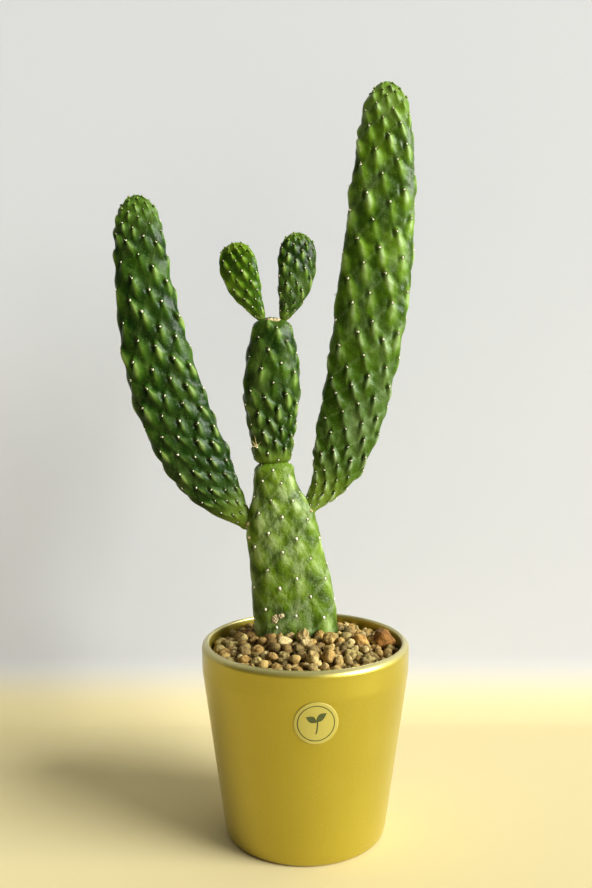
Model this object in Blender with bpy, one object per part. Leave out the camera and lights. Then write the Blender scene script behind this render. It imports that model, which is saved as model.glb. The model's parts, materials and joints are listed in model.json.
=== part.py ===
"""Potted paddle cactus: a glazed tapered pot, its fill of drainage stones, soil and gravel, and six grown pads.

Metres, +Z up, -Y is the front. The origin is the centre of the pot's flat underside.
"""

import math
import random

import bmesh
import bpy
import numpy as np
from mathutils import Euler, Vector

MM = 0.001
GAP = 0.3 * MM  # between pieces that touch

# Pot
POT_HEIGHT = 131 * MM
RIM_RADIUS = 70 * MM
FOOT_RADIUS = 54.3 * MM
RIM_BAND = 18 * MM  # near-upright band below the lip
WALL = 5 * MM
FLOOR = 7 * MM
LIP_OUTER_ROUND = 4.2 * MM
LIP_INNER_ROUND = 1.6 * MM
FOOT_ROUND = 3 * MM
POT_SEGMENTS = 56

# Round paper label on the pot's front
LABEL_RADIUS = 14 * MM
LABEL_THICKNESS = 0.25 * MM
LABEL_BELOW_RIM = 32 * MM
LABEL_ASIDE = 6 * MM

# Fill, from the bottom up
DRAINAGE_DEPTH = 20 * MM
BED_DROP = 16.5 * MM  # rim to the bed's edge
BED_CROWN = 17 * MM  # rise of the bed from its edge to the pot's axis
BED_DEPTH = 8 * MM  # at its edge

# Gravel on the bed
PEBBLES = 44
PEBBLE_SMALL = 4.2 * MM  # radius of the smallest
PEBBLE_LARGE = 5.8 * MM  # radius of the largest scattered one
PEBBLE_SEED = 11
# Larger stones that are set by hand: place in plan from the pot's axis, radius, flatness
SET_STONES = (
    ((54.0, 2.0), 7.4, 0.94),
    ((37.0, -5.0), 6.0, 0.92),
    ((41.5, -27.5), 6.8, 0.62),
    ((-2.0, -10.0), 5.9, 0.85),
    ((-31.5, -37.0), 4.6, 0.98),
    ((16.0, -14.0), 5.6, 0.92),
    ((-40.0, 20.0), 5.2, 0.80),
)

# Plant: where the trunk's centre stands in plan, at the crown of the gravel bed
PLANT_X = -5.6 * MM
PLANT_Y = 12 * MM
PLANT_BELOW_RIM = 6 * MM  # foot of the trunk's shape, which the heaped gravel just covers
TRUNK_BURIED = 45 * MM
SECTION_POWER = 2.35  # 2 is an ellipse, more is squarer
PAD_AROUND = 24
SINK = 5 * MM  # how deep a pad's own shape starts inside the pad that bears it

# Each pad has a height above where it stands, and the width and thickness of its fullest part.
# "path" is its centreline: right, back and up, in percent of the height.
# "widths" and "thicknesses" are (percent along the centreline, percent of the fullest).
# "tip" is the percent of its length over which the end rounds off; "twist" turns its face, in degrees.
PADDLE_THICKNESSES = ((0, 54), (8, 70), (25, 98), (50, 100), (85, 88), (100, 72))
YOUNG_THICKNESSES = ((0, 66), (30, 92), (70, 100), (100, 84))
TRUNK = {
    "height": 126 * MM, "width": 57.2 * MM, "thickness": 28 * MM, "tip": 0, "twist": 0,
    "path": ((0, 0, 0), (-2.9, 0, 28), (-7.5, 0, 56), (-9.8, 0, 71), (-12.1, 0.4, 86), (-13.3, 0.8, 100)),
    "widths": ((0, 99), (10, 100), (28, 98), (46, 90), (64, 86), (70, 82), (77, 68), (83, 56), (90, 50), (100, 46)),
    "thicknesses": ((0, 100), (45, 93), (70, 86), (85, 76), (100, 72)),
}
MIDDLE = {
    "height": 97.5 * MM, "width": 38.4 * MM, "thickness": 24 * MM, "tip": 7, "twist": 0,
    "path": ((0, 0, 0), (-0.5, 0.3, 31), (-0.2, 0.6, 62), (0, 1, 100)),
    "widths": ((0, 66), (10, 73), (32, 91), (43, 99), (54, 100), (65, 97), (77, 89), (88, 77), (100, 66)),
    "thicknesses": ((0, 80), (20, 90), (50, 100), (80, 88), (100, 67)),
}
LEFT_PADDLE = {
    "height": 218.5 * MM, "width": 48 * MM, "thickness": 18.4 * MM, "tip": 10, "twist": 5,
    "path": ((0, 0, 0), (-7.5, -0.5, 8.2), (-18.4, -1.4, 26.5), (-26.3, -1.8, 49), (-30.3, -2.3, 71),
             (-32.6, -3.2, 100)),
    "widths": ((0, 23), (12, 69), (21, 90), (32, 98), (44, 100), (54, 96), (65, 88), (75, 79), (84, 72), (100, 60)),
    "thicknesses": PADDLE_THICKNESSES,
}
RIGHT_PADDLE = {
    "height": 286 * MM, "width": 49.4 * MM, "thickness": 18.8 * MM, "tip": 6, "twist": -5,
    "path": ((0, 0, 0), (4.7, 0.3, 6.4), (8.5, 0.7, 17), (11.9, 1, 31.5), (14.6, 1.4, 49), (16.7, 1.9, 70),
             (18, 2.8, 100)),
    "widths": ((0, 21), (5, 42), (9, 59), (14, 77), (19, 85), (34, 94), (54, 100), (65, 95), (79, 87), (92, 70),
               (100, 57)),
    "thicknesses": PADDLE_THICKNESSES,
}
LEFT_YOUNG = {
    "height": 50.6 * MM, "width": 26 * MM, "thickness": 10 * MM, "tip": 26, "twist": -10,
    "path": ((0, 0, 0), (-10.5, -1, 17.5), (-22, -2, 40), (-30.5, -4, 65), (-35.5, -6, 100)),
    "widths": ((0, 23), (26, 62), (45, 88), (64, 100), (80, 101), (100, 98)),
    "thicknesses": YOUNG_THICKNESSES,
}
RIGHT_YOUNG = {
    "height": 58.2 * MM, "width": 26 * MM, "thickness": 10.4 * MM, "tip": 24, "twist": 14,
    "path": ((0, 0, 0), (7.3, 1, 18.5), (13.7, 1.7, 42.5), (16.3, 2.5, 66.5), (17.6, 3.3, 100)),
    "widths": ((0, 24), (24, 67), (40, 89), (57, 100), (70, 101), (100, 97)),
    "thicknesses": YOUNG_THICKNESSES,
}
# Where the side pads stand: percent along the trunk, and the side (-1 left, +1 right)
LEFT_PADDLE_AT = (70, -1)
RIGHT_PADDLE_AT = (72.5, 1)
# Where the young pads stand on the middle pad's top, in percent of its half width there
LEFT_YOUNG_AT = -50
RIGHT_YOUNG_AT = 55

# Roots below the trunk
ROOTS = 7
ROOT_REACH = 34 * MM
ROOT_CLEAR = 14 * MM  # from the deepest root's end to the drainage stones
ROOT_THICK = 2.4 * MM  # radius where it leaves the crown
ROOT_THIN = 0.9 * MM
CROWN_HALF_WIDTH = 10 * MM
CROWN_HALF_HEIGHT = 9 * MM

# A tuft of long spines on the middle pad's front, left of its centreline
TUFT_ALONG = 10.5  # percent along the middle pad
TUFT_ASIDE = -66  # across it, in percent of its half width
SPINES = ((-4.6, 6.0, 6.2), (-2.0, 6.6, 8.6), (2.6, 6.4, 5.2), (-6.4, 4.4, 2.0))  # mm left/right, out and up
SPINE_RADIUS = 0.32 * MM
CUSHION_RADIUS = 1.3 * MM

# Colour, roughness, metallic
GLAZE = ((0.56, 0.43, 0.09), 0.32, 0.35)
PAPER = ((0.80, 0.74, 0.44), 0.45, 0.0)
CLAY_BALL = ((0.42, 0.22, 0.12), 0.9, 0.0)
SOIL = ((0.06, 0.04, 0.028), 1.0, 0.0)
ROOT = ((0.46, 0.33, 0.2), 0.85, 0.0)
GRAVEL = ((0.36, 0.28, 0.17), 0.9, 0.0)
STONES = (
    ((0.52, 0.41, 0.25), 0.85, 0.0),
    ((0.62, 0.53, 0.36), 0.85, 0.0),
    ((0.36, 0.26, 0.15), 0.85, 0.0),
    ((0.45, 0.40, 0.28), 0.85, 0.0),
)
RUST_STONE = ((0.38, 0.16, 0.06), 0.85, 0.0)
AMBER_STONE = ((0.62, 0.38, 0.14), 0.8, 0.0)
FLESH = ((0.10, 0.24, 0.03), 0.38, 0.0)
YOUNG_FLESH = ((0.16, 0.32, 0.03), 0.4, 0.0)
SPINE = ((0.78, 0.66, 0.42), 0.5, 0.0)


# ---------------------------------------------------------------- shared helpers


def clear_scene():
    for obj in list(bpy.data.objects):
        bpy.data.objects.remove(obj)


def finish_mat(name, finish):
    """A Principled material from (colour, roughness, metallic)."""
    mat = bpy.data.materials.new(name)
    mat.use_nodes = True
    shader = mat.node_tree.nodes["Principled BSDF"]
    colour, roughness, metallic = finish
    shader.inputs["Base Color"].default_value = (*colour, 1)
    shader.inputs["Roughness"].default_value = roughness
    shader.inputs["Metallic"].default_value = metallic
    return mat


def add_object(name, bm, finish, smooth=True):
    """Links the bmesh as an object with its normals facing out."""
    bmesh.ops.recalc_face_normals(bm, faces=bm.faces)
    mesh = bpy.data.meshes.new(name)
    bm.to_mesh(mesh)
    bm.free()
    if smooth:
        mesh.shade_smooth()
        mesh.set_sharp_from_angle(angle=math.radians(40))
    obj = bpy.data.objects.new(name, mesh)
    obj.data.materials.append(finish_mat(name, finish))
    bpy.context.scene.collection.objects.link(obj)
    return obj


def as_cutter(obj):
    obj.hide_render = True
    obj.display_type = "WIRE"
    return obj


def cut_away(obj, cutter):
    """Takes the cutter's volume out of the object."""
    modifier = obj.modifiers.new("Fit to " + cutter.name, "BOOLEAN")
    modifier.operation = "DIFFERENCE"
    modifier.solver = "EXACT"
    modifier.object = as_cutter(cutter)


def smooth_through(knots, at):
    """Cubic Hermite curve through (position, value...) knots, with slopes taken from the neighbours."""
    knots = np.asarray(knots, float)
    x, y = knots[:, 0], knots[:, 1:]
    slope = np.gradient(y, x, axis=0)
    at = np.clip(np.atleast_1d(at), x[0], x[-1])
    i = np.clip(np.searchsorted(x, at, side="right") - 1, 0, len(x) - 2)
    span = x[i + 1] - x[i]
    t = ((at - x[i]) / span)[:, None]
    span = span[:, None]
    return (
        (2 * t**3 - 3 * t**2 + 1) * y[i]
        + (t**3 - 2 * t**2 + t) * span * slope[i]
        + (3 * t**2 - 2 * t**3) * y[i + 1]
        + (t**3 - t**2) * span * slope[i + 1]
    )


def arc(centre, radius, start, end, count):
    """Points (r, z) along an arc, from one angle to the other in degrees."""
    angles = np.radians(np.linspace(start, end, count))
    return [(centre[0] + radius * math.cos(a), centre[1] + radius * math.sin(a)) for a in angles]


def turned(profile, crown=None):
    """A profile of (r, z) points spun round Z; its first point closes flat, its last one flat or to a crown."""
    turns = [math.tau * i / POT_SEGMENTS for i in range(POT_SEGMENTS)]
    rings = [[(r * math.cos(a), r * math.sin(a), z) for a in turns] for r, z in profile]
    return skin(rings, tip=crown)


def skin(rings, tip=None, heel=None):
    """Faces between equal rings of points; an end closes to its pole point, or with one flat face."""
    bm = bmesh.new()
    loops = [[bm.verts.new(p) for p in ring] for ring in rings]
    count = len(loops[0])
    for low, high in zip(loops, loops[1:]):
        for i in range(count):
            j = (i + 1) % count
            bm.faces.new((low[i], low[j], high[j], high[i]))
    for loop, pole in ((loops[0], heel), (loops[-1], tip)):
        if pole is None:
            bm.faces.new(loop)
            continue
        vert = bm.verts.new(pole)
        for i in range(count):
            bm.faces.new((loop[i], loop[(i + 1) % count], vert))
    return bm


# ---------------------------------------------------------------- pot and its fill


def outer_radius(z):
    """Outside of the pot's wall: a straight taper up to the rim band, then almost upright."""
    band_start = POT_HEIGHT - RIM_BAND
    band_radius = RIM_RADIUS - 0.3 * MM
    if z >= band_start:
        return band_radius + (RIM_RADIUS - band_radius) * (z - band_start) / RIM_BAND
    return FOOT_RADIUS + (band_radius - FOOT_RADIUS) * z / band_start


def inner_radius(z):
    return outer_radius(z) - WALL


def pot():
    lip_base = POT_HEIGHT - LIP_OUTER_ROUND
    profile = arc((FOOT_RADIUS - FOOT_ROUND, FOOT_ROUND), FOOT_ROUND, -90, -8, 4)
    profile += [(outer_radius(z), z) for z in (POT_HEIGHT * 0.45, POT_HEIGHT - RIM_BAND)]
    profile += arc((RIM_RADIUS - LIP_OUTER_ROUND, lip_base), LIP_OUTER_ROUND, 0, 84, 4)
    inner = inner_radius(POT_HEIGHT)
    profile += arc((inner + LIP_INNER_ROUND, POT_HEIGHT - LIP_INNER_ROUND), LIP_INNER_ROUND, 96, 180, 3)
    profile += [(inner_radius(z), z) for z in (POT_HEIGHT - RIM_BAND, FLOOR + FOOT_ROUND)]
    profile += [(inner_radius(FLOOR) - FOOT_ROUND, FLOOR)]
    add_object("pot", turned(profile), GLAZE)


def fill_profile(*levels):
    """Half section of a fill that keeps GAP to the pot's wall, from its lowest level to its highest."""
    return [(inner_radius(z) - GAP, z) for z in levels]


def label():
    """A disc wrapped on the pot's taper, with a front and a back skin."""
    bm = bmesh.new()
    height = POT_HEIGHT - LABEL_BELOW_RIM
    taper = math.atan2(outer_radius(height) - FOOT_RADIUS, height)

    def on_wall(across, up, lift):
        z = height + up * math.cos(taper)
        radius = outer_radius(z) + GAP + lift
        angle = (LABEL_ASIDE + across) / radius
        return radius * math.sin(angle), -radius * math.cos(angle), z

    sides, rings = 28, 3
    skins = []
    for lift in (0, LABEL_THICKNESS):
        centre = bm.verts.new(on_wall(0, 0, lift))
        loops = []
        for k in range(1, rings + 1):
            r = LABEL_RADIUS * k / rings
            steps = [math.tau * i / sides for i in range(sides)]
            loops.append([bm.verts.new(on_wall(r * math.cos(a), r * math.sin(a), lift)) for a in steps])
        skins.append((centre, loops))
    for centre, loops in skins:
        for i in range(sides):
            j = (i + 1) % sides
            bm.faces.new((centre, loops[0][i], loops[0][j]))
            for inner, outer in zip(loops, loops[1:]):
                bm.faces.new((inner[i], outer[i], outer[j], inner[j]))
    back, front = skins[0][1][-1], skins[1][1][-1]
    for i in range(sides):
        j = (i + 1) % sides
        bm.faces.new((back[i], back[j], front[j], front[i]))
    add_object("label", bm, PAPER)


def drainage_top():
    return FLOOR + DRAINAGE_DEPTH


def soil_top():
    return POT_HEIGHT - BED_DROP - BED_DEPTH


def drainage_gravel():
    low = FLOOR + GAP
    profile = [(inner_radius(FLOOR) - FOOT_ROUND - GAP, low)]
    profile += fill_profile(FLOOR + FOOT_ROUND + GAP, drainage_top())
    add_object("drainage_gravel", turned(profile), CLAY_BALL)


def potting_soil(cutters):
    low, high = drainage_top() + GAP, soil_top()
    obj = add_object("potting_soil", turned(fill_profile(low, high)), SOIL)
    for cutter in cutters:
        cut_away(obj, cutter)


def bed_height(x, y):
    """Top of the gravel bed: a shallow dome about the pot's axis."""
    edge = POT_HEIGHT - BED_DROP
    share = math.hypot(x, y) / inner_radius(edge)
    return edge + BED_CROWN * (1 - share**2)


def gravel_bed(cutter):
    edge = POT_HEIGHT - BED_DROP
    profile = fill_profile(soil_top() + GAP, edge)
    reach = profile[-1][0]
    profile += [(reach * share, bed_height(reach * share, 0)) for share in np.linspace(1, 0, 8)[1:-1]]
    obj = add_object("gravel_bed", turned(profile, crown=(0, 0, bed_height(0, 0))), GRAVEL)
    cut_away(obj, cutter)


# ---------------------------------------------------------------- pads


class Pad:
    """A flattened stem: a superellipse section carried along a smooth centreline."""

    def __init__(self, shape, start, lead, grow=0.0, round_heel=False):
        """start is where it stands, and lead is how far its skin begins before that point."""
        self.shape = shape
        self.grow = grow
        self.round_heel = round_heel
        points = np.asarray(shape["path"], float) / 100 * shape["height"] + np.asarray(start, float)
        first = points[1] - points[0]
        points = np.vstack([points[0] - first / np.linalg.norm(first) * lead, points])
        run = np.concatenate([[0], np.cumsum(np.linalg.norm(np.diff(points, axis=0), axis=1))])
        self.length = run[-1]
        self.lead_share = lead / self.length
        self.knots = np.column_stack([run / self.length, points])

    def share(self, percent):
        """Share of the whole centreline from a percentage of the part that starts where the pad stands."""
        return self.lead_share + percent / 100 * (1 - self.lead_share)

    def centre(self, share):
        return smooth_through(self.knots, share)[0]

    def frame(self, share):
        """Unit vectors at a share of the length: along, across (to the right) and out (to the front)."""
        step = 0.01
        along = self.centre(min(share + step, 1)) - self.centre(max(share - step, 0))
        along /= np.linalg.norm(along)
        twist = math.radians(self.shape["twist"])
        out = np.array((math.sin(twist), -math.cos(twist), 0))
        out -= along * out.dot(along)
        out /= np.linalg.norm(out)
        return along, np.cross(along, out), out

    def rounding(self, share):
        """Shrinks both half sizes to nothing over the tip and a round heel, as a quarter ellipse does."""
        tip = self.shape["tip"] / 100
        heel = self.lead_share if self.round_heel else 0
        factor = 1.0
        if share > 1 - tip:
            factor = math.sqrt(max(0, 1 - ((share - 1 + tip) / tip) ** 2))
        if share < heel:
            factor = math.sqrt(max(0, 1 - ((heel - share) / heel) ** 2))
        return factor

    def half_sizes(self, share):
        """(half width, half thickness) at a share of the whole centreline."""
        percent = max(0, (share - self.lead_share) / (1 - self.lead_share)) * 100
        width = smooth_through(self.shape["widths"], percent)[0, 0] / 100 * self.shape["width"] / 2
        thickness = smooth_through(self.shape["thicknesses"], percent)[0, 0] / 100 * self.shape["thickness"] / 2
        rounding = self.rounding(share)
        return width * rounding + self.grow, thickness * rounding + self.grow

    def surface(self, share, angle):
        """A point on the skin; angle 0 is the right edge and a quarter turn the front."""
        _, across, out = self.frame(share)
        width, thickness = self.half_sizes(share)
        power = 2 / SECTION_POWER
        cos, sin = math.cos(angle), math.sin(angle)
        side = math.copysign(abs(cos) ** power, cos) * width
        front = math.copysign(abs(sin) ** power, sin) * thickness
        return self.centre(share) + across * side + out * front

    def end_ring(self, ring, share, sign):
        """The end's pole point if it is round, or else a copy of its last ring moved on by grow."""
        along = self.frame(share)[0] * sign
        if self.rounding(share) == 0:
            return [self.centre(share) + along * self.grow]
        return [point + along * self.grow for point in ring]

    def mesh(self):
        count = 12 + round(self.length / (16 * MM))
        even = np.linspace(0, 1, count)
        shares = 0.35 * even + 0.65 * (0.5 - 0.5 * np.cos(math.pi * even))
        shares = [s for s in shares if self.rounding(s) > 0]
        turns = [math.tau * i / PAD_AROUND for i in range(PAD_AROUND)]
        rings = [[self.surface(s, a) for a in turns] for s in shares]
        poles = []
        for at, share, sign in ((0, 0, -1), (len(rings), 1, 1)):
            end = self.end_ring(rings[-1 if at else 0], share, sign)
            poles.append(end[0] if len(end) == 1 else None)
            if self.grow and len(end) > 1:
                rings.insert(at, end)
        return skin(rings, heel=poles[0], tip=poles[1])


def edge_of(pad, percent, side):
    """Point on a pad's left (-1) or right (+1) edge."""
    return pad.surface(pad.share(percent), 0 if side > 0 else math.pi)


def top_of(pad, percent):
    """Point on a pad's round top, aside from its centre by a percentage of the half width below the rounding."""
    tip = pad.shape["tip"] / 100
    aside = percent / 100
    along, across, _ = pad.frame(1)
    width, _ = pad.half_sizes(1 - tip)
    drop = pad.length * tip * (1 - math.sqrt(1 - aside**2))
    return pad.centre(1) + across * width * aside - along * drop


def plant():
    """The six pads. Returns the trunk, and the grown copy of it that cuts its pocket in the fill."""
    ground = (PLANT_X, PLANT_Y, POT_HEIGHT - PLANT_BELOW_RIM)
    trunk = Pad(TRUNK, ground, TRUNK_BURIED, round_heel=True)
    trunk_grown = Pad(TRUNK, ground, TRUNK_BURIED, grow=GAP, round_heel=True)
    trunk_cutter = add_object("trunk_pocket", trunk_grown.mesh(), FLESH)
    neck = trunk.centre(1)
    middle = Pad(MIDDLE, neck, SINK)
    middle_cutter = add_object("middle_pocket", Pad(MIDDLE, neck, SINK, grow=GAP).mesh(), FLESH)
    add_object("trunk_pad", trunk.mesh(), FLESH)
    borne = (
        ("middle_pad", MIDDLE, neck, trunk_cutter, FLESH),
        ("left_paddle", LEFT_PADDLE, edge_of(trunk, *LEFT_PADDLE_AT), trunk_cutter, FLESH),
        ("right_paddle", RIGHT_PADDLE, edge_of(trunk, *RIGHT_PADDLE_AT), trunk_cutter, FLESH),
        ("left_young_pad", LEFT_YOUNG, top_of(middle, LEFT_YOUNG_AT), middle_cutter, YOUNG_FLESH),
        ("right_young_pad", RIGHT_YOUNG, top_of(middle, RIGHT_YOUNG_AT), middle_cutter, YOUNG_FLESH),
    )
    for name, shape, stand, cutter, finish in borne:
        obj = add_object(name, Pad(shape, stand, SINK).mesh(), finish)
        cut_away(obj, cutter)
    spine_tuft(middle)
    return trunk, trunk_cutter


def cone(bm, start, end, radius, tip_radius, sides=6):
    """A tapered rod between two points."""
    start, end = Vector(start), Vector(end)
    made = bmesh.ops.create_cone(
        bm, cap_ends=True, cap_tris=False, segments=sides, radius1=radius, radius2=tip_radius,
        depth=(end - start).length,
    )
    turn = (end - start).to_track_quat("Z", "Y")
    for vert in made["verts"]:
        vert.co = turn @ vert.co + (start + end) / 2


def union_all(name, meshes, finish):
    """One object that is the union of several closed bmeshes, which overlap each other."""
    whole = add_object(name, meshes[0], finish)
    for i, bm in enumerate(meshes[1:]):
        part = as_cutter(add_object(f"{name}_piece_{i}", bm, finish))
        modifier = whole.modifiers.new(f"Join {i}", "BOOLEAN")
        modifier.operation = "UNION"
        modifier.solver = "EXACT"
        modifier.object = part
    return whole


def spine_tuft(middle):
    """Long spines that leave one small cushion, which stands GAP clear of the pad."""
    share = middle.share(TUFT_ALONG)
    angle = math.acos(math.copysign(abs(TUFT_ASIDE / 100) ** (SECTION_POWER / 2), TUFT_ASIDE))
    _, across, out = middle.frame(share)
    foot = middle.surface(share, angle)
    root = Vector(foot + out * (CUSHION_RADIUS + 2 * GAP))
    cushion = bmesh.new()
    bmesh.ops.create_icosphere(cushion, subdivisions=1, radius=CUSHION_RADIUS)
    bmesh.ops.translate(cushion, verts=cushion.verts, vec=root)
    parts = [cushion]
    for aside, forward, up in SPINES:
        end = foot + (across * aside + out * forward + np.array((0, 0, up))) * MM
        bm = bmesh.new()
        cone(bm, root, end, SPINE_RADIUS, SPINE_RADIUS * 0.25)
        parts.append(bm)
    union_all("spine_tuft", parts, SPINE)


# ---------------------------------------------------------------- roots


def root_run(i, heel):
    """Points along one root, from inside the crown outwards and down, with a slight waver."""
    heading = math.tau * (i + 0.3 * math.sin(2.1 * i)) / ROOTS
    reach = ROOT_REACH * (0.8 + 0.2 * math.cos(1.7 * i))
    drop = (heel.z - drainage_top() - ROOT_CLEAR) * (0.8 + 0.2 * math.sin(2.9 * i))
    run = []
    for t in np.linspace(0, 1, 7):
        turn = heading + 0.35 * math.sin(2.5 * t + i)
        run.append(heel + Vector((math.cos(turn) * reach * t, math.sin(turn) * reach * t, -drop * t**1.4)))
    return run


def tube(points, radii, sides=7):
    """A tapered tube along a run of points."""
    rings = []
    for k, point in enumerate(points):
        along = (points[min(k + 1, len(points) - 1)] - points[max(k - 1, 0)]).normalized()
        turn = along.to_track_quat("Z", "Y")
        spokes = [math.tau * i / sides for i in range(sides)]
        rings.append([point + turn @ Vector((math.cos(a), math.sin(a), 0)) * radii[k] for a in spokes])
    return skin(rings)


def root_parts(heel, grow):
    """Closed meshes of the crown and of each root, all swollen by grow."""
    crown = bmesh.new()
    bmesh.ops.create_uvsphere(crown, u_segments=14, v_segments=8, radius=1)
    width, height = CROWN_HALF_WIDTH + grow, CROWN_HALF_HEIGHT + grow
    bmesh.ops.scale(crown, verts=crown.verts, vec=(width, width * 0.75, height))
    bmesh.ops.translate(crown, verts=crown.verts, vec=heel)
    parts = [crown]
    for i in range(ROOTS):
        run = root_run(i, heel)
        radii = np.linspace(ROOT_THICK, ROOT_THIN, len(run)) + grow
        if grow:
            run[-1] = run[-1] + (run[-1] - run[-2]).normalized() * grow
        parts.append(tube(run, radii))
    return parts


def roots(trunk, trunk_cutter):
    """The crown and roots in one piece below the trunk. Returns the grown copy that makes room in the soil."""
    heel = Vector(trunk.centre(0)) - Vector((0, 0, CROWN_HALF_HEIGHT * 0.55))
    obj = union_all("roots", root_parts(heel, 0), ROOT)
    cut_away(obj, trunk_cutter)
    return union_all("root_pocket", root_parts(heel, GAP), ROOT)


# ---------------------------------------------------------------- gravel stones


def clear_of_trunk(x, y, radius, trunk):
    """True if a stone of that radius in plan stands clear of the trunk, where the trunk leaves the gravel."""
    low, high = trunk.centre(trunk.lead_share), trunk.centre(trunk.share(10))
    width, thickness = trunk.half_sizes(trunk.lead_share)
    room = radius + 2 * GAP
    across = abs(x - (low[0] + high[0]) / 2) / (width + room + abs(high[0] - low[0]) / 2)
    deep = abs(y - low[1]) / (thickness + room)
    return across**SECTION_POWER + deep**SECTION_POWER > 1


def stone_places(trunk, rng):
    """(x, y, radius, flatness) of each stone: the set ones, then scattered ones from large to small.

    A scattered stone that finds no room is made smaller until it does."""
    reach = inner_radius(POT_HEIGHT - BED_DROP) - 2 * GAP
    places = []

    def fits(x, y, radius):
        if math.hypot(x, y) + radius > reach or not clear_of_trunk(x, y, radius, trunk):
            return False
        return all(math.hypot(x - a, y - b) > radius + r + GAP for a, b, r, _ in places)

    for (x, y), radius, flatness in SET_STONES:
        x, y, radius = x * MM, y * MM, radius * MM
        inward = min(1, (reach - radius) / math.hypot(x, y))
        if fits(x * inward, y * inward, radius):
            places.append((x * inward, y * inward, radius, flatness))
    scattered = PEBBLES - len(places)
    for k in range(scattered):
        radius = PEBBLE_LARGE + (PEBBLE_SMALL - PEBBLE_LARGE) * (k / scattered) ** 0.7
        x, y = reach, reach
        while not fits(x, y, radius):
            radius *= 0.9995
            turn, out = rng.uniform(0, math.tau), reach * math.sqrt(rng.random())
            x, y = out * math.cos(turn), out * math.sin(turn)
        places.append((x, y, radius, rng.uniform(0.68, 0.95)))
    return places


def stone_mesh(radius, flatness, rng):
    """Convex hull of points on a lumpy flattened ball, none further out than the radius."""
    bm = bmesh.new()
    count = 30
    golden = math.pi * (3 - math.sqrt(5))
    narrow = rng.uniform(0.78, 0.97)
    for i in range(count):
        z = 1 - 2 * (i + 0.5) / count
        ring = math.sqrt(1 - z * z)
        swell = rng.uniform(0.88, 1.0)
        point = Vector((ring * math.cos(golden * i), ring * math.sin(golden * i) * narrow, z * flatness))
        bm.verts.new(point * radius * swell)
    hull = bmesh.ops.convex_hull(bm, input=bm.verts)
    spare = {g for g in hull["geom_interior"] + hull["geom_unused"] if isinstance(g, bmesh.types.BMVert)}
    bmesh.ops.delete(bm, geom=list(spare), context="VERTS")
    lean = Euler((rng.uniform(-0.25, 0.25), rng.uniform(-0.25, 0.25), rng.uniform(0, math.tau)))
    bmesh.ops.rotate(bm, verts=bm.verts, cent=(0, 0, 0), matrix=lean.to_matrix())
    bmesh.ops.triangulate(bm, faces=bm.faces)
    return bm


def pebbles(trunk):
    rng = random.Random(PEBBLE_SEED)
    for k, (x, y, radius, flatness) in enumerate(stone_places(trunk, rng)):
        bm = stone_mesh(radius, flatness, rng)
        lift = max(bed_height(x + v.co.x, y + v.co.y) + GAP - v.co.z for v in bm.verts)
        bmesh.ops.translate(bm, verts=bm.verts, vec=(x, y, lift))
        finish = {0: RUST_STONE, 1: AMBER_STONE}.get(k, STONES[k % len(STONES)])
        add_object(f"pebble_{k + 1:02d}", bm, finish, smooth=False)


# ---------------------------------------------------------------- the whole


def main():
    clear_scene()
    pot()
    label()
    drainage_gravel()
    trunk, trunk_cutter = plant()
    root_cutter = roots(trunk, trunk_cutter)
    potting_soil((trunk_cutter, root_cutter))
    gravel_bed(trunk_cutter)
    pebbles(trunk)


main()
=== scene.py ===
"""Looks of the potted paddle cactus.

Six tubercled pads with woolly areoles and spines, a top dressing of rounded stones, a pearl-glazed tapered pot
with a plain seedling label, and the plain stage they are shown on. Metres, +Z up, -Y is the front.
"""

import json
import math

import bpy
import numpy as np
from mathutils import Matrix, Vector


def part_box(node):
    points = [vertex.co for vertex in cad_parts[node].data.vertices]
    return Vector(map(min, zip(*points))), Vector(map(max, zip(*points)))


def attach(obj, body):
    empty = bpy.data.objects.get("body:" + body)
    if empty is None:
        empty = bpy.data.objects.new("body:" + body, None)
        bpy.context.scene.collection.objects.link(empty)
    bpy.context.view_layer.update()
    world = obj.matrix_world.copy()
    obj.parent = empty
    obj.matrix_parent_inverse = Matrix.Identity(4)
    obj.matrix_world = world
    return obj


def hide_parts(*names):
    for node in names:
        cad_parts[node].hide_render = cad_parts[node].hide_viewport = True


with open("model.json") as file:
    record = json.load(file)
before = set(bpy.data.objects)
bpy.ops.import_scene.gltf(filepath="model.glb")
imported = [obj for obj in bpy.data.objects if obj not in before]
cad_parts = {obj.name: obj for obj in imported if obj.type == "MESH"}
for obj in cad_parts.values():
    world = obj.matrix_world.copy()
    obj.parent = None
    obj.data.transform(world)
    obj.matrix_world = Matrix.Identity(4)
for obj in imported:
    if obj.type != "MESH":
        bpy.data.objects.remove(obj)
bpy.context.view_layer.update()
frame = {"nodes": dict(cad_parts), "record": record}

MM = 0.001
GOLDEN = (3 - math.sqrt(5)) / 2  # turn from one areole to the next, as a share of the girth

# ---------------------------------------------------------------- camera and stage

CAMERA_PLACE = (-0.0063, -0.5805, 0.307)
CAMERA_DOWN = 4.29  # degrees below level
CAMERA_LENS = 35.31  # mm, on a 36 mm frame
WALL_BEHIND = 0.215  # from the pot's axis to the wall
STAGE_REACH = 3.0  # how far the stage goes to each side, forwards and up
SWEEP = 0.05  # radius of the round between floor and wall
SUN_POWER, SUN_WIDTH, SUN_TURN = 5.1, 38, (66, 0, 66)  # W/m2, degrees, degrees
ROOM_POWER, SKY_POWER = 7.0, 0.12


def linear(red, green, blue):
    """Scene-linear colour from display values of 0 to 255."""
    share = np.array([red, green, blue]) / 255
    return tuple(np.where(share <= 0.04045, share / 12.92, ((share + 0.055) / 1.055) ** 2.4))


def put(name, data):
    """A new object in the scene."""
    obj = bpy.data.objects.new(name, data)
    bpy.context.scene.collection.objects.link(obj)
    return obj


def mesh_object(name, points, faces):
    mesh = bpy.data.meshes.new(name)
    mesh.from_pydata(points, [], faces)
    mesh.polygons.foreach_set("use_smooth", np.full(len(mesh.polygons), True))
    return put(name, mesh)


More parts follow.
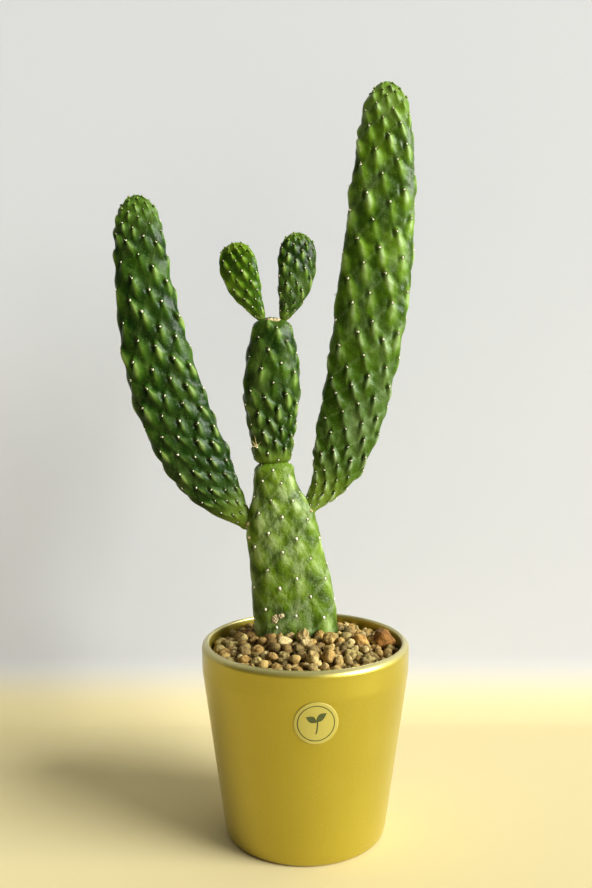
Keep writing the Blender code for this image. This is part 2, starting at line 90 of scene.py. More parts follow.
def corners(node):
    """Low and high corner of a CAD node's box."""
    return np.array(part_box(node))


def full_turn(columns):
    """Angles of evenly spaced columns round a full turn."""
    return 2 * math.pi * np.arange(columns) / columns


def lathe(radii, heights, turn):
    """Rings about the vertical as a (rows, columns, 3) grid.

    Each row is its radius times the angles' cosines and sines, at its own height."""
    return np.stack([radii[:, None] * np.cos(turn), radii[:, None] * np.sin(turn),
                     heights[:, None] * np.ones(len(turn))], -1)


def grid_faces(rows, columns, closed, poles):
    """Quads between the rows of a grid; closed joins the last column to the first.

    poles adds the fans that close the first and last row, to two points after the grid's own."""
    low = np.arange(rows - 1)[:, None] * columns
    left = np.arange(columns if closed else columns - 1)[None, :]
    right = (left + 1) % columns
    quads = np.stack([low + left, low + right, low + columns + right, low + columns + left], -1).reshape(-1, 4)
    if not poles:
        return quads.tolist()
    ring = np.arange(columns)
    follow = (ring + 1) % columns
    top = (rows - 1) * columns
    first = np.stack([np.full(columns, rows * columns), follow, ring], -1)
    last = np.stack([np.full(columns, rows * columns + 1), top + ring, top + follow], -1)
    return quads.tolist() + first.tolist() + last.tolist()


def closed_grid(name, grid, first_pole, last_pole):
    """A closed skin from a (rows, columns, 3) grid of points whose columns go round anticlockwise."""
    rows, columns, _ = grid.shape
    points = np.vstack([grid.reshape(-1, 3), [first_pole, last_pole]])
    return mesh_object(name, points, grid_faces(rows, columns, True, True))


def store(obj, name, values):
    """Keeps one number per point for the material to read."""
    layer = obj.data.attributes.new(name, "FLOAT", "POINT")
    layer.data.foreach_set("value", np.asarray(values, np.float32).ravel())


def store_colour(obj, name, colours):
    layer = obj.data.attributes.new(name, "FLOAT_COLOR", "POINT")
    rgba = np.column_stack([colours, np.ones(len(colours))])
    layer.data.foreach_set("color", rgba.astype(np.float32).ravel())


def finish_piece(obj, material, slot, *nodes):
    """Gives a piece its material and the one body, and hides the CAD nodes it stands for; slot is not used."""
    obj.data.materials.append(material)
    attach(obj, "root")
    if nodes:
        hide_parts(*nodes)


# ---------------------------------------------------------------- materials


class Nodes:
    """A material's node tree, written as nested calls."""

    def __init__(self, name):
        self.material = bpy.data.materials.new(name)
        self.material.use_nodes = True
        self.tree = self.material.node_tree
        self.shader = self.tree.nodes["Principled BSDF"]
        self.place = self.tree.nodes.new("ShaderNodeTexCoord").outputs["Object"]

    def set(self, **values):
        """Sets or links the shader's sockets; an underscore in a name stands for a space."""
        for name, value in values.items():
            self.feed(self.shader.inputs[name.replace("_", " ")], value)

    def feed(self, socket, value):
        if isinstance(value, bpy.types.NodeSocket):
            self.tree.links.new(value, socket)
        elif isinstance(value, tuple) and len(socket.default_value) == 4:
            socket.default_value = (*value, 1)[:4]
        else:
            socket.default_value = value

    def add(self, kind, output, inputs, **settings):
        node = self.tree.nodes.new(kind)
        for name, value in settings.items():
            setattr(node, name, value)
        for key, value in inputs.items():
            self.feed(node.inputs[key], value)
        return node.outputs[output]

    def attribute(self, name, output="Fac"):
        return self.add("ShaderNodeAttribute", output, {}, attribute_name=name)

    def noise(self, scale, detail=3.0, roughness=0.55, stretch=None):
        """Fractal noise over Object coordinates; stretch scales each axis first."""
        place = self.place
        if stretch:
            place = self.add("ShaderNodeMapping", "Vector", {"Vector": place, "Scale": stretch})
        inputs = {"Vector": place, "Scale": scale, "Detail": detail, "Roughness": roughness}
        return self.add("ShaderNodeTexNoise", "Fac", inputs)

    def cells(self, scale):
        """Distance from the middles of random cells."""
        return self.add("ShaderNodeTexVoronoi", "Distance", {"Vector": self.place, "Scale": scale})

    def product(self, a, b):
        return self.add("ShaderNodeMath", "Value", {0: a, 1: b}, operation="MULTIPLY")

    def ramp(self, value, low, high, start=0.0, end=1.0):
        """Smooth step of a value from one range to another."""
        inputs = {"Value": value, "From Min": low, "From Max": high, "To Min": start, "To Max": end}
        return self.add("ShaderNodeMapRange", "Result", inputs, interpolation_type="SMOOTHSTEP")

    def mix(self, factor, a, b, blend="MIX"):
        node = self.tree.nodes.new("ShaderNodeMix")
        node.data_type = "RGBA"
        node.blend_type = blend
        self.feed(node.inputs[0], factor)
        self.feed(node.inputs[6], a)
        self.feed(node.inputs[7], b)
        return node.outputs[2]

    def bump(self, height, distance, strength=1.0, below=None):
        inputs = {"Height": height, "Distance": distance, "Strength": strength}
        if below:
            inputs["Normal"] = below
        return self.add("ShaderNodeBump", "Normal", inputs)


def pad_skin(name, deep, fresh, tip, bloom, veins, haze, grain=0.45, shade=0.5):
    """Waxy green skin: painted shade darkens the hollows and leaves the tubercles lighter, tip colour at the growing
    end.

    veins is how pale the ridges between areoles are, haze how much of the pale bloom lies in streaks, grain how
    rough the skin is, and shade how much darker the lower half is, above the old yellowish foot."""
    n = Nodes(name)
    swell = n.attribute("swell")
    mottle = n.noise(46, 4)
    patch = n.noise(17, 2)
    # painted shade: dark in the hollows between the tubercles, darkest in the deepest, lighter on the tubercles
    body = n.mix(n.ramp(swell, 0.1, 0.85), deep, fresh)
    body = n.mix(n.ramp(swell, 0.0, 0.3, 0.75, 0), body, tuple(0.3 * c for c in deep))
    body = n.mix(n.ramp(mottle, 0.38, 0.75, 0, 0.5), body, tuple(1.35 * c for c in fresh))
    body = n.mix(n.ramp(patch, 0.45, 0.7, 0, 0.35), body, deep)
    reach = n.attribute("reach")
    body = n.mix(n.ramp(reach, 0.25, 0.6, shade, 0), body, tuple(0.75 * c for c in deep))
    body = n.mix(n.ramp(reach, 0.02, 0.15, 1.4 * shade, 0), body, (0.15, 0.22, 0.025))
    body = n.mix(n.ramp(reach, 0.86, 1.0, 0, 0.85), body, tip)
    body = n.mix(n.ramp(n.attribute("vein"), 0.3, 1.0, 0, veins), body, bloom)
    streak = n.noise(75, 5, 0.7, (1.0, 1.0, 0.42))
    body = n.mix(n.ramp(streak, 0.44, 0.74, 0, haze), body, bloom)
    # painted highlight: the pale bloom colour laid on the tubercles' crests, broken up by noise
    crest_highlight = n.product(n.ramp(swell, 0.45, 1.0), n.ramp(n.noise(60, 4, 0.6), 0.3, 0.65, 0.15, 0.65))
    body = n.mix(crest_highlight, body, bloom)
    # painted shadow: the skin darkened in the small pit on each areole's left
    body = n.mix(n.ramp(n.attribute("pit_and_shadow"), 0.2, 1.0, 0, 0.65), body, tuple(0.25 * c for c in deep))
    specks = n.cells(520)
    body = n.mix(n.ramp(specks, 0.08, 0.26, 0.22, 0), body, bloom)
    # painted shade: the skin darkened round each areole, in its dimple
    body = n.mix(n.ramp(n.attribute("wool"), 0.2, 0.8, 0, 0.55), body, tuple(0.35 * c for c in deep))
    fine = n.bump(n.noise(750, 2), 0.00025, 0.3)
    skin = n.bump(n.noise(150, 4, 0.6), 0.0016, grain, fine)
    n.set(Base_Color=body, Roughness=n.ramp(mottle, 0.3, 0.8, 0.3, 0.45), Normal=skin)
    n.set(Specular_IOR_Level=0.2, Sheen_Weight=0.03, Sheen_Roughness=0.35, Sheen_Tint=(0.72, 0.9, 1.0))
    return n.material


def wool():
    n = Nodes("areole_wool")
    n.set(Base_Color=n.mix(n.noise(900, 2), (0.72, 0.7, 0.5), (0.95, 0.94, 0.78)), Roughness=0.95)
    n.set(Sheen_Weight=0.4, Sheen_Roughness=0.5, Normal=n.bump(n.noise(1800, 2), 0.0004, 0.8))
    return n.material


def needle(name, root, point, roughness=0.42, coat=0.15):
    """Spine or tip leaf, whose colour passes from its root to its point."""
    n = Nodes(name)
    n.set(Base_Color=n.mix(n.attribute("along"), root, point), Roughness=roughness, Coat_Weight=coat)
    return n.material


def grained(name, grain, dark, pale, roughness, relief=None, **sockets):
    """A finish of two colours mixed by one noise, which also raises the surface by relief (height, strength).

    grain is the noise's scale, detail, roughness and stretch."""
    n = Nodes(name)
    pattern = n.noise(*grain)
    n.set(Base_Color=n.mix(pattern, dark, pale), Roughness=roughness, **sockets)
    if relief:
        n.set(Normal=n.bump(pattern, *relief))
    return n.material


def stone():
    """Weathered gravel: each stone's own tint, mottled, with darker pits and pale grit."""
    n = Nodes("gravel_stone")
    tint = n.attribute("tint", "Color")
    blotch = n.noise(160, 5, 0.62)
    grit = n.noise(900, 3, 0.6)
    body = n.mix(n.ramp(blotch, 0.3, 0.62), n.mix(1.0, tint, (0.42, 0.34, 0.20), "MULTIPLY"), tint)
    body = n.mix(n.ramp(grit, 0.5, 0.75, 0, 0.45), body, n.mix(1.0, tint, (1.5, 1.5, 1.45), "MULTIPLY"))
    pits = n.cells(420)
    body = n.mix(n.ramp(pits, 0.05, 0.32, 0.5, 0), body, (0.07, 0.045, 0.025))
    rough = n.bump(grit, 0.0008, 0.8, n.bump(blotch, 0.0026, 0.8))
    n.set(Base_Color=body, Roughness=n.ramp(blotch, 0.3, 0.7, 0.72, 0.92), Normal=rough)
    return n.material


def soil():
    """Dark crumbly peat with pale perlite grains."""
    n = Nodes("potting_soil_crumbs")
    crumb = n.noise(500, 4, 0.7)
    body = n.mix(crumb, (0.012, 0.008, 0.005), (0.085, 0.055, 0.03))
    body = n.mix(n.ramp(n.cells(160), 0.06, 0.12, 0.8, 0), body, (0.7, 0.68, 0.62))
    n.set(Base_Color=body, Roughness=1.0, Normal=n.bump(crumb, 0.003, 1.0))
    return n.material


def clay_balls():
    """Fired clay balls: cells of red-brown with dark joints between them."""
    n = Nodes("clay_balls")
    ball = n.cells(110)
    body = n.mix(n.noise(300, 3), (0.24, 0.09, 0.045), (0.42, 0.2, 0.11))
    body = n.mix(n.ramp(ball, 0.35, 0.62, 0, 0.9), body, (0.03, 0.015, 0.01))
    n.set(Base_Color=body, Roughness=0.9, Normal=n.bump(n.ramp(ball, 0.1, 0.65, 1, 0), 0.004, 1.0))
    return n.material


def finish_hidden():
    """Gives the solids that keep their own shape inside the pot their finishes; root bark has long fibres."""
    fibres = (240, 4, 0.6, (1.0, 1.0, 0.2))
    bark = grained("root_bark", fibres, (0.16, 0.1, 0.05), (0.5, 0.38, 0.22), 0.85, (0.0015, 0.8))
    for node, material in (("potting_soil", soil()), ("drainage_gravel", clay_balls()), ("roots", bark)):
        for place in frame["nodes"][node].material_slots:
            place.material = material


LIP_HIGHLIGHT = (0.1275, 0.1308)  # heights in m between which the painted highlight on the lip fades in


def glaze():
    """Pearly gold glaze: fine metallic flake under a clear coat, cloudy, and paler over the lip as a painted
    highlight.
    """
    n = Nodes("pearl_glaze")
    cloud = n.noise(14, 3)
    flake = n.noise(2600, 1)
    body = n.mix(cloud, (0.43, 0.345, 0.022), (0.51, 0.42, 0.045))
    body = n.mix(n.ramp(flake, 0.55, 0.75, 0, 0.22), body, (0.8, 0.7, 0.3))
    pits = n.cells(95)
    body = n.mix(n.ramp(pits, 0.0, 0.04, 0.3, 0), body, (0.2, 0.13, 0.02))
    # painted highlight: the glaze paler over the lip
    lip = n.ramp(n.add("ShaderNodeSeparateXYZ", "Z", {"Vector": n.place}), *LIP_HIGHLIGHT, 0, 0.75)
    body = n.mix(lip, body, (0.66, 0.6, 0.3))
    skin = n.bump(n.noise(230, 2), 0.0006, 0.1, n.bump(n.noise(38, 2), 0.0015, 0.16))
    n.set(Base_Color=body, Metallic=0.72, Roughness=n.ramp(cloud, 0.3, 0.7, 0.36, 0.43), Normal=skin)
    n.set(Coat_Weight=0.85, Coat_Roughness=0.3, Sheen_Weight=0.05, Sheen_Roughness=0.4)
    return n.material


def stage_paint():
    """Pale floor that passes into a light grey wall above it; clear from behind, so that the back can be seen."""
    n = Nodes("stage_paint")
    height = n.add("ShaderNodeSeparateXYZ", "Z", {"Vector": n.place})
    n.set(Base_Color=n.mix(n.ramp(height, 0.004, 0.05), linear(222, 208, 160), linear(206, 208, 213)), Roughness=0.8)
    n.set(Specular_IOR_Level=0.1)
    behind = n.add("ShaderNodeNewGeometry", "Backfacing", {})
    clear = n.add("ShaderNodeBsdfTransparent", "BSDF", {})
    either = n.add("ShaderNodeMixShader", "Shader", {0: behind, 1: n.shader.outputs["BSDF"], 2: clear})
    n.feed(n.tree.nodes["Material Output"].inputs["Surface"], either)
    return n.material


# ---------------------------------------------------------------- pads

SECTION_POWER = 2.35  # 2 is an ellipse, more is squarer

# Shapes as in the solids: centreline right, back and up in percent of the height; widths and thicknesses as
# (percent along, percent of the fullest). "hold" is the side of the solid's box that places it: -1 left, 0 middle,
# 1 right. "step" is the rise from one areole to the next in mm and "crowds" what divides it, by percent along;
# "hand" is the way that the spiral turns and "first" where it starts. "bulges" are the tubercles' heights in mm by
# percent along, "slim" scales their width and "edge" their height on the pad's narrow edges, "lean" is how far they
# slant, and "uneven" the slow waves under them in mm.
PADDLE_THICKNESSES = ((0, 54), (8, 70), (25, 98), (50, 100), (85, 88), (100, 72))
YOUNG = {
    "width": 26, "lead": 2, "thicknesses": ((0, 66), (30, 92), (70, 100), (100, 84)),
    "lean": 0.2, "slim": 0.8, "edge": 0.8, "uneven": 0.12,
    "bulges": ((0, 0.7), (30, 1.1), (80, 1.1), (100, 0.8)), "crowds": ((0, 1.3), (50, 1.0), (80, 1.3), (100, 3.0)),
}
PADS = {
    "trunk_pad": {
        "height": 126, "width": 57.2, "thickness": 28, "tip": 0, "twist": 0, "lead": 14, "hold": 0, "closes": 5,
        "path": ((0, 0, 0), (-2.9, 0, 28), (-7.5, 0, 56), (-9.8, 0, 71), (-12.1, 0.4, 86), (-13.3, 0.8, 100)),
        "widths": ((0, 99), (10, 100), (28, 98), (46, 90), (64, 86), (70, 82), (77, 68), (83, 56), (90, 50),
                   (100, 46)),
        "thicknesses": ((0, 100), (45, 93), (70, 86), (85, 76), (100, 72)),
        "grid": (300, 240), "step": 2.0, "hand": 1, "first": 0.37, "lean": 0.1,
        "slim": 1.1, "edge": 0.6, "uneven": 0.22,
        "bulges": ((0, 0.5), (40, 0.65), (75, 0.9), (100, 1.0)), "crowds": ((0, 1.0), (60, 1.0), (100, 1.5)),
    },
    "middle_pad": {
        "height": 97.5, "width": 38.4, "thickness": 24, "tip": 7, "twist": 0, "lead": 3, "hold": 0,
        "path": ((0, 0, 0), (-0.5, 0.3, 31), (-0.2, 0.6, 62), (0, 1, 100)),
        "widths": ((0, 66), (10, 73), (32, 91), (43, 99), (54, 100), (65, 97), (77, 89), (88, 77), (100, 66)),
        "thicknesses": ((0, 80), (20, 90), (50, 100), (80, 88), (100, 67)),
        "grid": (260, 216), "step": 1.75, "hand": -1, "first": 0.1, "lean": 0.15,
        "slim": 0.85, "edge": 0.7, "uneven": 0.3,
        "bulges": ((0, 1.9), (40, 2.3), (70, 1.5), (100, 0.9)),
        "crowds": ((0, 1.9), (35, 1.6), (60, 1.0), (100, 1.2)),
    },
    "left_paddle": {
        "height": 218.5, "width": 48, "thickness": 18.4, "tip": 10, "twist": 5, "lead": 6, "hold": -1,
        "path": ((0, 0, 0), (-7.5, -0.5, 8.2), (-18.4, -1.4, 26.5), (-26.3, -1.8, 49), (-30.3, -2.3, 71),
                 (-32.6, -3.2, 100)),
        "widths": ((0, 23), (12, 69), (21, 90), (32, 98), (44, 100), (54, 96), (65, 88), (75, 79), (84, 72),
                   (100, 60)),
        "thicknesses": PADDLE_THICKNESSES,
        "grid": (440, 216), "step": 2.0, "hand": -1, "first": 0.55, "lean": 0.16,
        "slim": 0.78, "edge": 0.75, "uneven": 0.25,
        "bulges": ((0, 1.0), (12, 2.1), (45, 2.6), (80, 2.3), (100, 1.7)),
        "crowds": ((0, 2.4), (12, 1.9), (40, 1.45), (62, 1.1), (82, 1.0), (91, 2.0), (100, 4.5)),
    },
    "right_paddle": {
        "height": 286, "width": 49.4, "thickness": 18.8, "tip": 6, "twist": -5, "lead": 6, "hold": 1,
        "path": ((0, 0, 0), (4.7, 0.3, 6.4), (8.5, 0.7, 17), (11.9, 1, 31.5), (14.6, 1.4, 49), (16.7, 1.9, 70),
                 (18, 2.8, 100)),
        "widths": ((0, 21), (5, 42), (9, 59), (14, 77), (19, 85), (34, 94), (54, 100), (65, 95), (79, 87),
                   (92, 68), (100, 48)),
        "thicknesses": PADDLE_THICKNESSES,
        "grid": (480, 200), "step": 2.3, "hand": 1, "first": 0.2, "lean": 0.22,
        "slim": 0.72, "edge": 0.8, "uneven": 0.35,
        "bulges": ((0, 1.3), (12, 2.3), (32, 2.2), (46, 1.3), (60, 1.1), (72, 1.9), (88, 2.2), (100, 1.5)),
        "crowds": ((0, 2.8), (14, 2.0), (32, 1.5), (46, 1.05), (85, 1.0), (94, 2.2), (100, 5.0)),
    },
    "left_young_pad": {
        **YOUNG, "height": 50.6, "thickness": 10, "tip": 26, "twist": -10, "hold": -1,
        "path": ((0, 0, 0), (-10.5, -1, 17.5), (-22, -2, 40), (-30.5, -4, 65), (-35.5, -6, 100)),
        "widths": ((0, 23), (26, 62), (45, 88), (64, 100), (80, 101), (100, 98)),
        "grid": (230, 184), "step": 1.05, "hand": 1, "first": 0.3,
    },
    "right_young_pad": {
        **YOUNG, "height": 58.2, "thickness": 10.4, "tip": 24, "twist": 14, "hold": 1,
        "path": ((0, 0, 0), (7.3, 1, 18.5), (13.7, 1.7, 42.5), (16.3, 2.5, 66.5), (17.6, 3.3, 100)),
        "widths": ((0, 24), (24, 67), (40, 89), (57, 100), (70, 101), (100, 97)),
        "grid": (240, 184), "step": 1.1, "hand": -1, "first": 0.7,
    },
}


def smooth_through(knots, at):
    """Cubic Hermite curve through (position, value...) knots, with slopes taken from the neighbours."""
    knots = np.asarray(knots, float)
    x, y = knots[:, 0], knots[:, 1:]
    slope = np.gradient(y, x, axis=0)
    at = np.clip(at, x[0], x[-1])
    i = np.clip(np.searchsorted(x, at, side="right") - 1, 0, len(x) - 2)
    span = (x[i + 1] - x[i])[:, None]
    t = (at - x[i])[:, None] / span
    rise = (2 * t**3 - 3 * t**2 + 1) * y[i] + (3 * t**2 - 2 * t**3) * y[i + 1]
    return rise + (t**3 - 2 * t**2 + t) * span * slope[i] + (t**3 - t**2) * span * slope[i + 1]


def unit(vectors):
    return vectors / np.maximum(np.linalg.norm(vectors, axis=-1, keepdims=True), 1e-12)


def smooth_step(value, low, high):
    """Cubic step from 0 at low to 1 at high."""
    t = np.clip((value - low) / (high - low), 0, 1)
    return t * t * (3 - 2 * t)


def superellipse(angle):
    """Sideways and outward coordinates of a superellipse of radius 1.

    They are the angle's cosine and sine, each raised to 2 / SECTION_POWER with its sign kept."""
    power = 2 / SECTION_POWER
    return tuple(np.copysign(np.abs(c) ** power, c) for c in (np.cos(angle), np.sin(angle)))


def interpolated(at, known, vectors):
    """Vectors at places between the known ones."""
    return np.stack([np.interp(at, known, column) for column in vectors.T], -1)


def section_angle(flatness, girth):
    """Angle round a superellipse at each share of its girth, for each ring's flatness (thickness over width).

    The girth is measured along 720 chords for a few flatnesses, and read off between them."""
    theta = np.linspace(0, 2 * math.pi, 721)
    known = np.linspace(0.2, 1.0, 17)
    side, front = superellipse(theta)
    chords = np.hypot(np.diff(side)[None], np.diff(front * known[:, None], axis=1))
    run = np.concatenate([np.zeros((len(known), 1)), np.cumsum(chords, axis=1)], axis=1)
    table = np.array([np.interp(girth, r / r[-1], theta) for r in run])
    place = np.clip((flatness - known[0]) / (known[1] - known[0]), 0, len(known) - 1.001)
    low = place.astype(int)
    share = (place - low)[:, None]
    return table[low] * (1 - share) + table[low + 1] * share


class Pad:
    """The fine skin of one pad, as arrays over rows (along it) and columns (round its girth)."""

    def __init__(self, node):
        self.node = node
        self.shape = PADS[node]
        self.rows, self.columns = self.shape["grid"]
        self.base_skin()
        self.spiral()
        self.swell()
        self.place()

    def base_skin(self):
        """Superellipse rings carried along the centreline; the tip rounds off as a quarter ellipse."""
        shape = self.shape
        points = np.asarray(shape["path"], float) / 100 * shape["height"]
        first = unit(points[1] - points[0])
        points = np.vstack([points[0] - first * shape["lead"], points])
        run = np.concatenate([[0], np.cumsum(np.linalg.norm(np.diff(points, axis=0), axis=1))])
        self.length = run[-1]
        even = np.linspace(0, 1, self.rows)
        tip = shape["tip"] / 100
        self.along = np.where(even > 1 - tip, 1 - tip + tip * np.sin((even - 1 + tip) / max(tip, 1e-9) * math.pi / 2),
                              even) if tip else even
        self.along = np.minimum(self.along, 1 - 2e-5)
        self.s = self.along * self.length
        centre = smooth_through(np.column_stack([run, points]), self.s)
        heading = unit(np.gradient(smooth_through(np.column_stack([run, points]), even * self.length), axis=0))
        heading = interpolated(self.along, even, heading)
        twist = math.radians(shape["twist"])
        out = np.array([math.sin(twist), -math.cos(twist), 0.0])
        out = unit(out - heading * (heading @ out)[:, None])
        across = np.cross(heading, out)
        percent = np.clip((self.s - shape["lead"]) / (self.length - shape["lead"]), 0, 1) * 100
        wide = smooth_through(shape["widths"], percent)[:, 0] / 100 * shape["width"] / 2
        thick = smooth_through(shape["thicknesses"], percent)[:, 0] / 100 * shape["thickness"] / 2
        foot = np.sqrt(1 - (1 - np.clip(self.s / 5, 0.01, 1)) ** 2)
        end = tip or shape["closes"] / 100
        rounding = foot * np.sqrt(1 - np.clip((self.along - 1 + end) / end, 0, 1) ** 2)
        wide, thick = wide * rounding, thick * rounding
        self.u = np.arange(self.columns) / self.columns
        angle = section_angle(thick / wide, self.u)
        side, front = superellipse(angle)
        side, front = side * wide[:, None], front * thick[:, None]
        self.skin = centre[:, None] + across[:, None] * side[..., None] + out[:, None] * front[..., None]
        around = np.linalg.norm(np.roll(self.skin, -1, axis=1) - self.skin, axis=-1)
        self.girth = around.sum(axis=1)
        self.heading = heading
        self.percent = percent

    def normals(self, grid):
        """Outward unit normals: the step along the rows crossed with the step along the columns."""
        round_it = np.roll(grid, -1, axis=1) - np.roll(grid, 1, axis=1)
        up = np.gradient(grid, axis=0)
        return unit(np.cross(up, round_it))

    def spiral(self):
        """Areoles one golden turn apart, closer together at the base and towards the tip."""
        fine = np.linspace(0, self.length, 4000)
        crowd = np.interp(fine / self.length * 100, *np.transpose(self.shape["crowds"]))
        count = np.concatenate([[0], np.cumsum(crowd[1:] * np.diff(fine))]) / self.shape["step"]
        self.count = np.interp(self.s, fine, count)
        i = np.arange(1, int(count[-1]))
        rng = np.random.default_rng(len(self.node) * 7 + int(self.shape["height"]))
        s = np.interp(i, count, fine)
        rise = self.shape["step"] / np.interp(s, fine, crowd)
        girth = np.interp(s, self.s, self.girth)
        self.size = np.sqrt(rise * girth)
        s = s + rng.normal(0, 0.08, len(i)) * self.size
        stray = rng.normal(0, 0.045, len(i)) * self.size / girth
        u = (self.shape["hand"] * i * GOLDEN + self.shape["first"] + stray) % 1
        keep = (s > self.shape["lead"] + 1) & (s < self.length * 0.9995)
        self.areoles = np.column_stack([s, u])[keep]
        self.size = self.size[keep]
        self.vigour = rng.uniform(0.5, 1.25, keep.sum())
        self.slant = rng.normal(self.shape["lean"], 0.14, keep.sum())

    def swell(self):
        """Tubercle relief.

        Each tubercle is a slanting ridge that starts more than a step below its areole, is fullest just under it and
        ends steeply above it. Ridges combine by a power sum, so that neighbours leave hollows between them, and each
        areole has a small oval pit on its left, which the skin also darkens as painted shadow."""
        total = np.zeros((self.rows, self.columns))
        wool = np.zeros_like(total)
        pit_and_shadow = np.zeros_like(total)
        for (s, u), size, vigour, slant in zip(self.areoles, self.size, self.vigour, self.slant):
            reach = np.abs(self.s - s) < 1.6 * size + 2
            ds = (self.s[reach] - s)[:, None]
            du = self.u - u
            dv = (du - np.round(du))[None, :] * self.girth[reach][:, None]
            y = ds / size
            x = dv / size - slant * y
            wide = (0.17 + 0.12 * smooth_step(-y, 0, 0.45) - 0.08 * smooth_step(-y, 0.6, 1.25)) * self.shape["slim"]
            shelf = 0.4 - 0.24 * smooth_step(s / self.length, 0.6, 0.85)
            rise = smooth_step(y, -1.3, -0.3) * (1 - smooth_step(y, -0.08, shelf))
            flank = np.where(x > 0, 0.85 * wide, 1.3 * wide)
            total[reach] += (vigour * rise * np.exp(-(np.abs(x / flank) ** 1.7))) ** 3
            hollow = np.exp(-(((x - 0.17) / 0.1) ** 2 + ((y + 0.08) / 0.26) ** 2))
            shallow = 1 - smooth_step(s / self.length, 0.86, 0.97)  # no pits at the crown
            pit_and_shadow[reach] = np.maximum(pit_and_shadow[reach], vigour * hollow * shallow)
            radius = np.hypot(dv, ds)
            wool[reach] = np.maximum(wool[reach], np.exp(-((radius / (0.7 + 0.08 * size)) ** 2)))
        self.relief = np.cbrt(total)
        self.wool = wool
        self.pit_and_shadow = pit_and_shadow
        self.vein = self.network()

    def network(self):
        """Ridges that join each areole to the fifth and eighth after it: 1 on a ridge, 0 between them."""
        ridge = np.zeros((self.rows, self.columns))
        turn = self.shape["hand"] * GOLDEN
        for family in (5, 8):
            drift = family * turn - round(family * turn)
            phase = family * (self.u[None] - self.shape["first"]) - drift * self.count[:, None]
            ridge = np.maximum(ridge, np.abs(np.cos(math.pi * phase)) ** 14)
        return ridge

    def waver(self):
        """Slow unevenness of the whole pad: ten random waves over its length and girth, about 1 at most."""
        rng = np.random.default_rng(self.rows)
        total = np.zeros((self.rows, self.columns))
        for _ in range(10):
            wave, turns, shift = rng.uniform(7, 30), rng.integers(-8, 9), rng.uniform(0, 2 * math.pi)
            total += np.sin(2 * math.pi * (self.s[:, None] / wave + turns * self.u) + shift)
        return total / 4

    def place(self):
        """Lifts the skin along its normals by the relief, then moves the whole pad to its solid's box."""
        shape = self.shape
        bulge = np.interp(self.percent, *np.transpose(shape["bulges"]))
        bulge = (bulge * np.clip(0.2 + self.girth / self.girth.max(), 0, 1))[:, None]
        edge = np.abs(np.cos(2 * math.pi * self.u)) ** 3  # 1 on the two narrow edges, 0 on the broad faces
        bulge = bulge * (1 - (1 - shape["edge"]) * edge)
        settle = smooth_step(self.s, shape["lead"], shape["lead"] + 10)[:, None]
        relief = self.relief - 0.45 + 0.06 * self.vein - 0.5 * self.pit_and_shadow
        lift = bulge * settle * relief + shape["uneven"] * settle * self.waver()
        lift -= 0.4 * self.wool * settle
        if self.node == "trunk_pad":
            low = 1 - smooth_step(self.percent, 2, 34)[:, None]
            folds = np.abs(np.sin(11 * math.pi * self.u + 0.9 * np.sin(self.s[:, None] / 17)))
            lift += low * (0.9 * folds - 0.5)
        grid = self.skin + self.normals(self.skin) * lift[..., None]
        low, high = corners(self.node) / MM
        above_ground = self.skin[int(self.rows * 0.1):]
        least, most = above_ground.min((0, 1)), above_ground.max((0, 1))
        move = {-1: low - least, 0: (low + high - least - most) / 2, 1: high - most}[shape["hold"]]
        move[1] = ((low + high - least - most) / 2)[1]
        move[2] = (high - most)[2]
        self.grid = (grid + move) * MM
        self.normal = self.normals(self.grid)

    def at(self, s, u, field):
        """Values of a (rows, columns, ...) field at places along and round the pad, between its points."""
        row = np.interp(s, self.s, np.arange(self.rows))
        column = u * self.columns
        r, c = np.floor(row).astype(int), np.floor(column).astype(int)
        r = np.clip(r, 0, self.rows - 2)
        fr, fc = row - r, column - c
        if field.ndim == 3:
            fr, fc = fr[:, None], fc[:, None]
        a, b = field[r, c % self.columns], field[r, (c + 1) % self.columns]
        d, e = field[r + 1, c % self.columns], field[r + 1, (c + 1) % self.columns]
        return (a * (1 - fc) + b * fc) * (1 - fr) + (d * (1 - fc) + e * fc) * fr

    def frames(self, s, u):
        """Points on the finished skin with (outward, upward along the pad, sideways) unit vectors."""
        point = self.at(s, u, self.grid)
        out = unit(self.at(s, u, self.normal))
        up = interpolated(s, self.s, self.heading)
        up = unit(up - out * (out * up).sum(-1, keepdims=True))
        return point, out, up, np.cross(up, out)

    def build(self, material):
        obj = closed_grid(self.node + "_skin", self.grid[:, ::-1], self.grid[0].mean(0), self.grid[-1].mean(0))
        for name, field in (("swell", self.relief), ("wool", self.wool), ("vein", self.vein), ("pit_and_shadow", self.pit_and_shadow)):
            store(obj, name, np.append(field[:, ::-1].ravel(), [field[0].mean(), field[-1].mean()]))
        reach = np.repeat(self.along, self.columns)
        store(obj, "reach", np.append(reach, [0, 1]))
        finish_piece(obj, material, "young_flesh" if "young" in self.node else "flesh", self.node)


# ---------------------------------------------------------------- areoles, spines and tip leaves


def scatter(name, template, faces, places, values=None):
    """One mesh of many copies of a small template; places are (point, x, y, z) arrays, axes carrying the scale."""
    point, x, y, z = places
    copies = (point[:, None] + template[None, :, 0:1] * x[:, None] + template[None, :, 1:2] * y[:, None]
              + template[None, :, 2:3] * z[:, None])
    count, size = len(point), len(template)
    shifted = [[index + copy * size for index in face] for copy in range(count) for face in faces]
    obj = mesh_object(name, copies.reshape(-1, 3), shifted)
    if values is not None:
        store(obj, "along", np.tile(values, count))
    return obj


def dome_template(around=7, rows=3):
    """Low dome of radius 1 on the plane z = 0, with a skirt just below it."""
    tilt = np.linspace(-0.25, 1.1, rows)
    ring = lathe(np.cos(tilt), np.sin(tilt), full_turn(around))
    points = np.vstack([ring.reshape(-1, 3), [[0, 0, -0.3], [0, 0, 1.0]]])
    return points, grid_faces(rows, around, True, True)


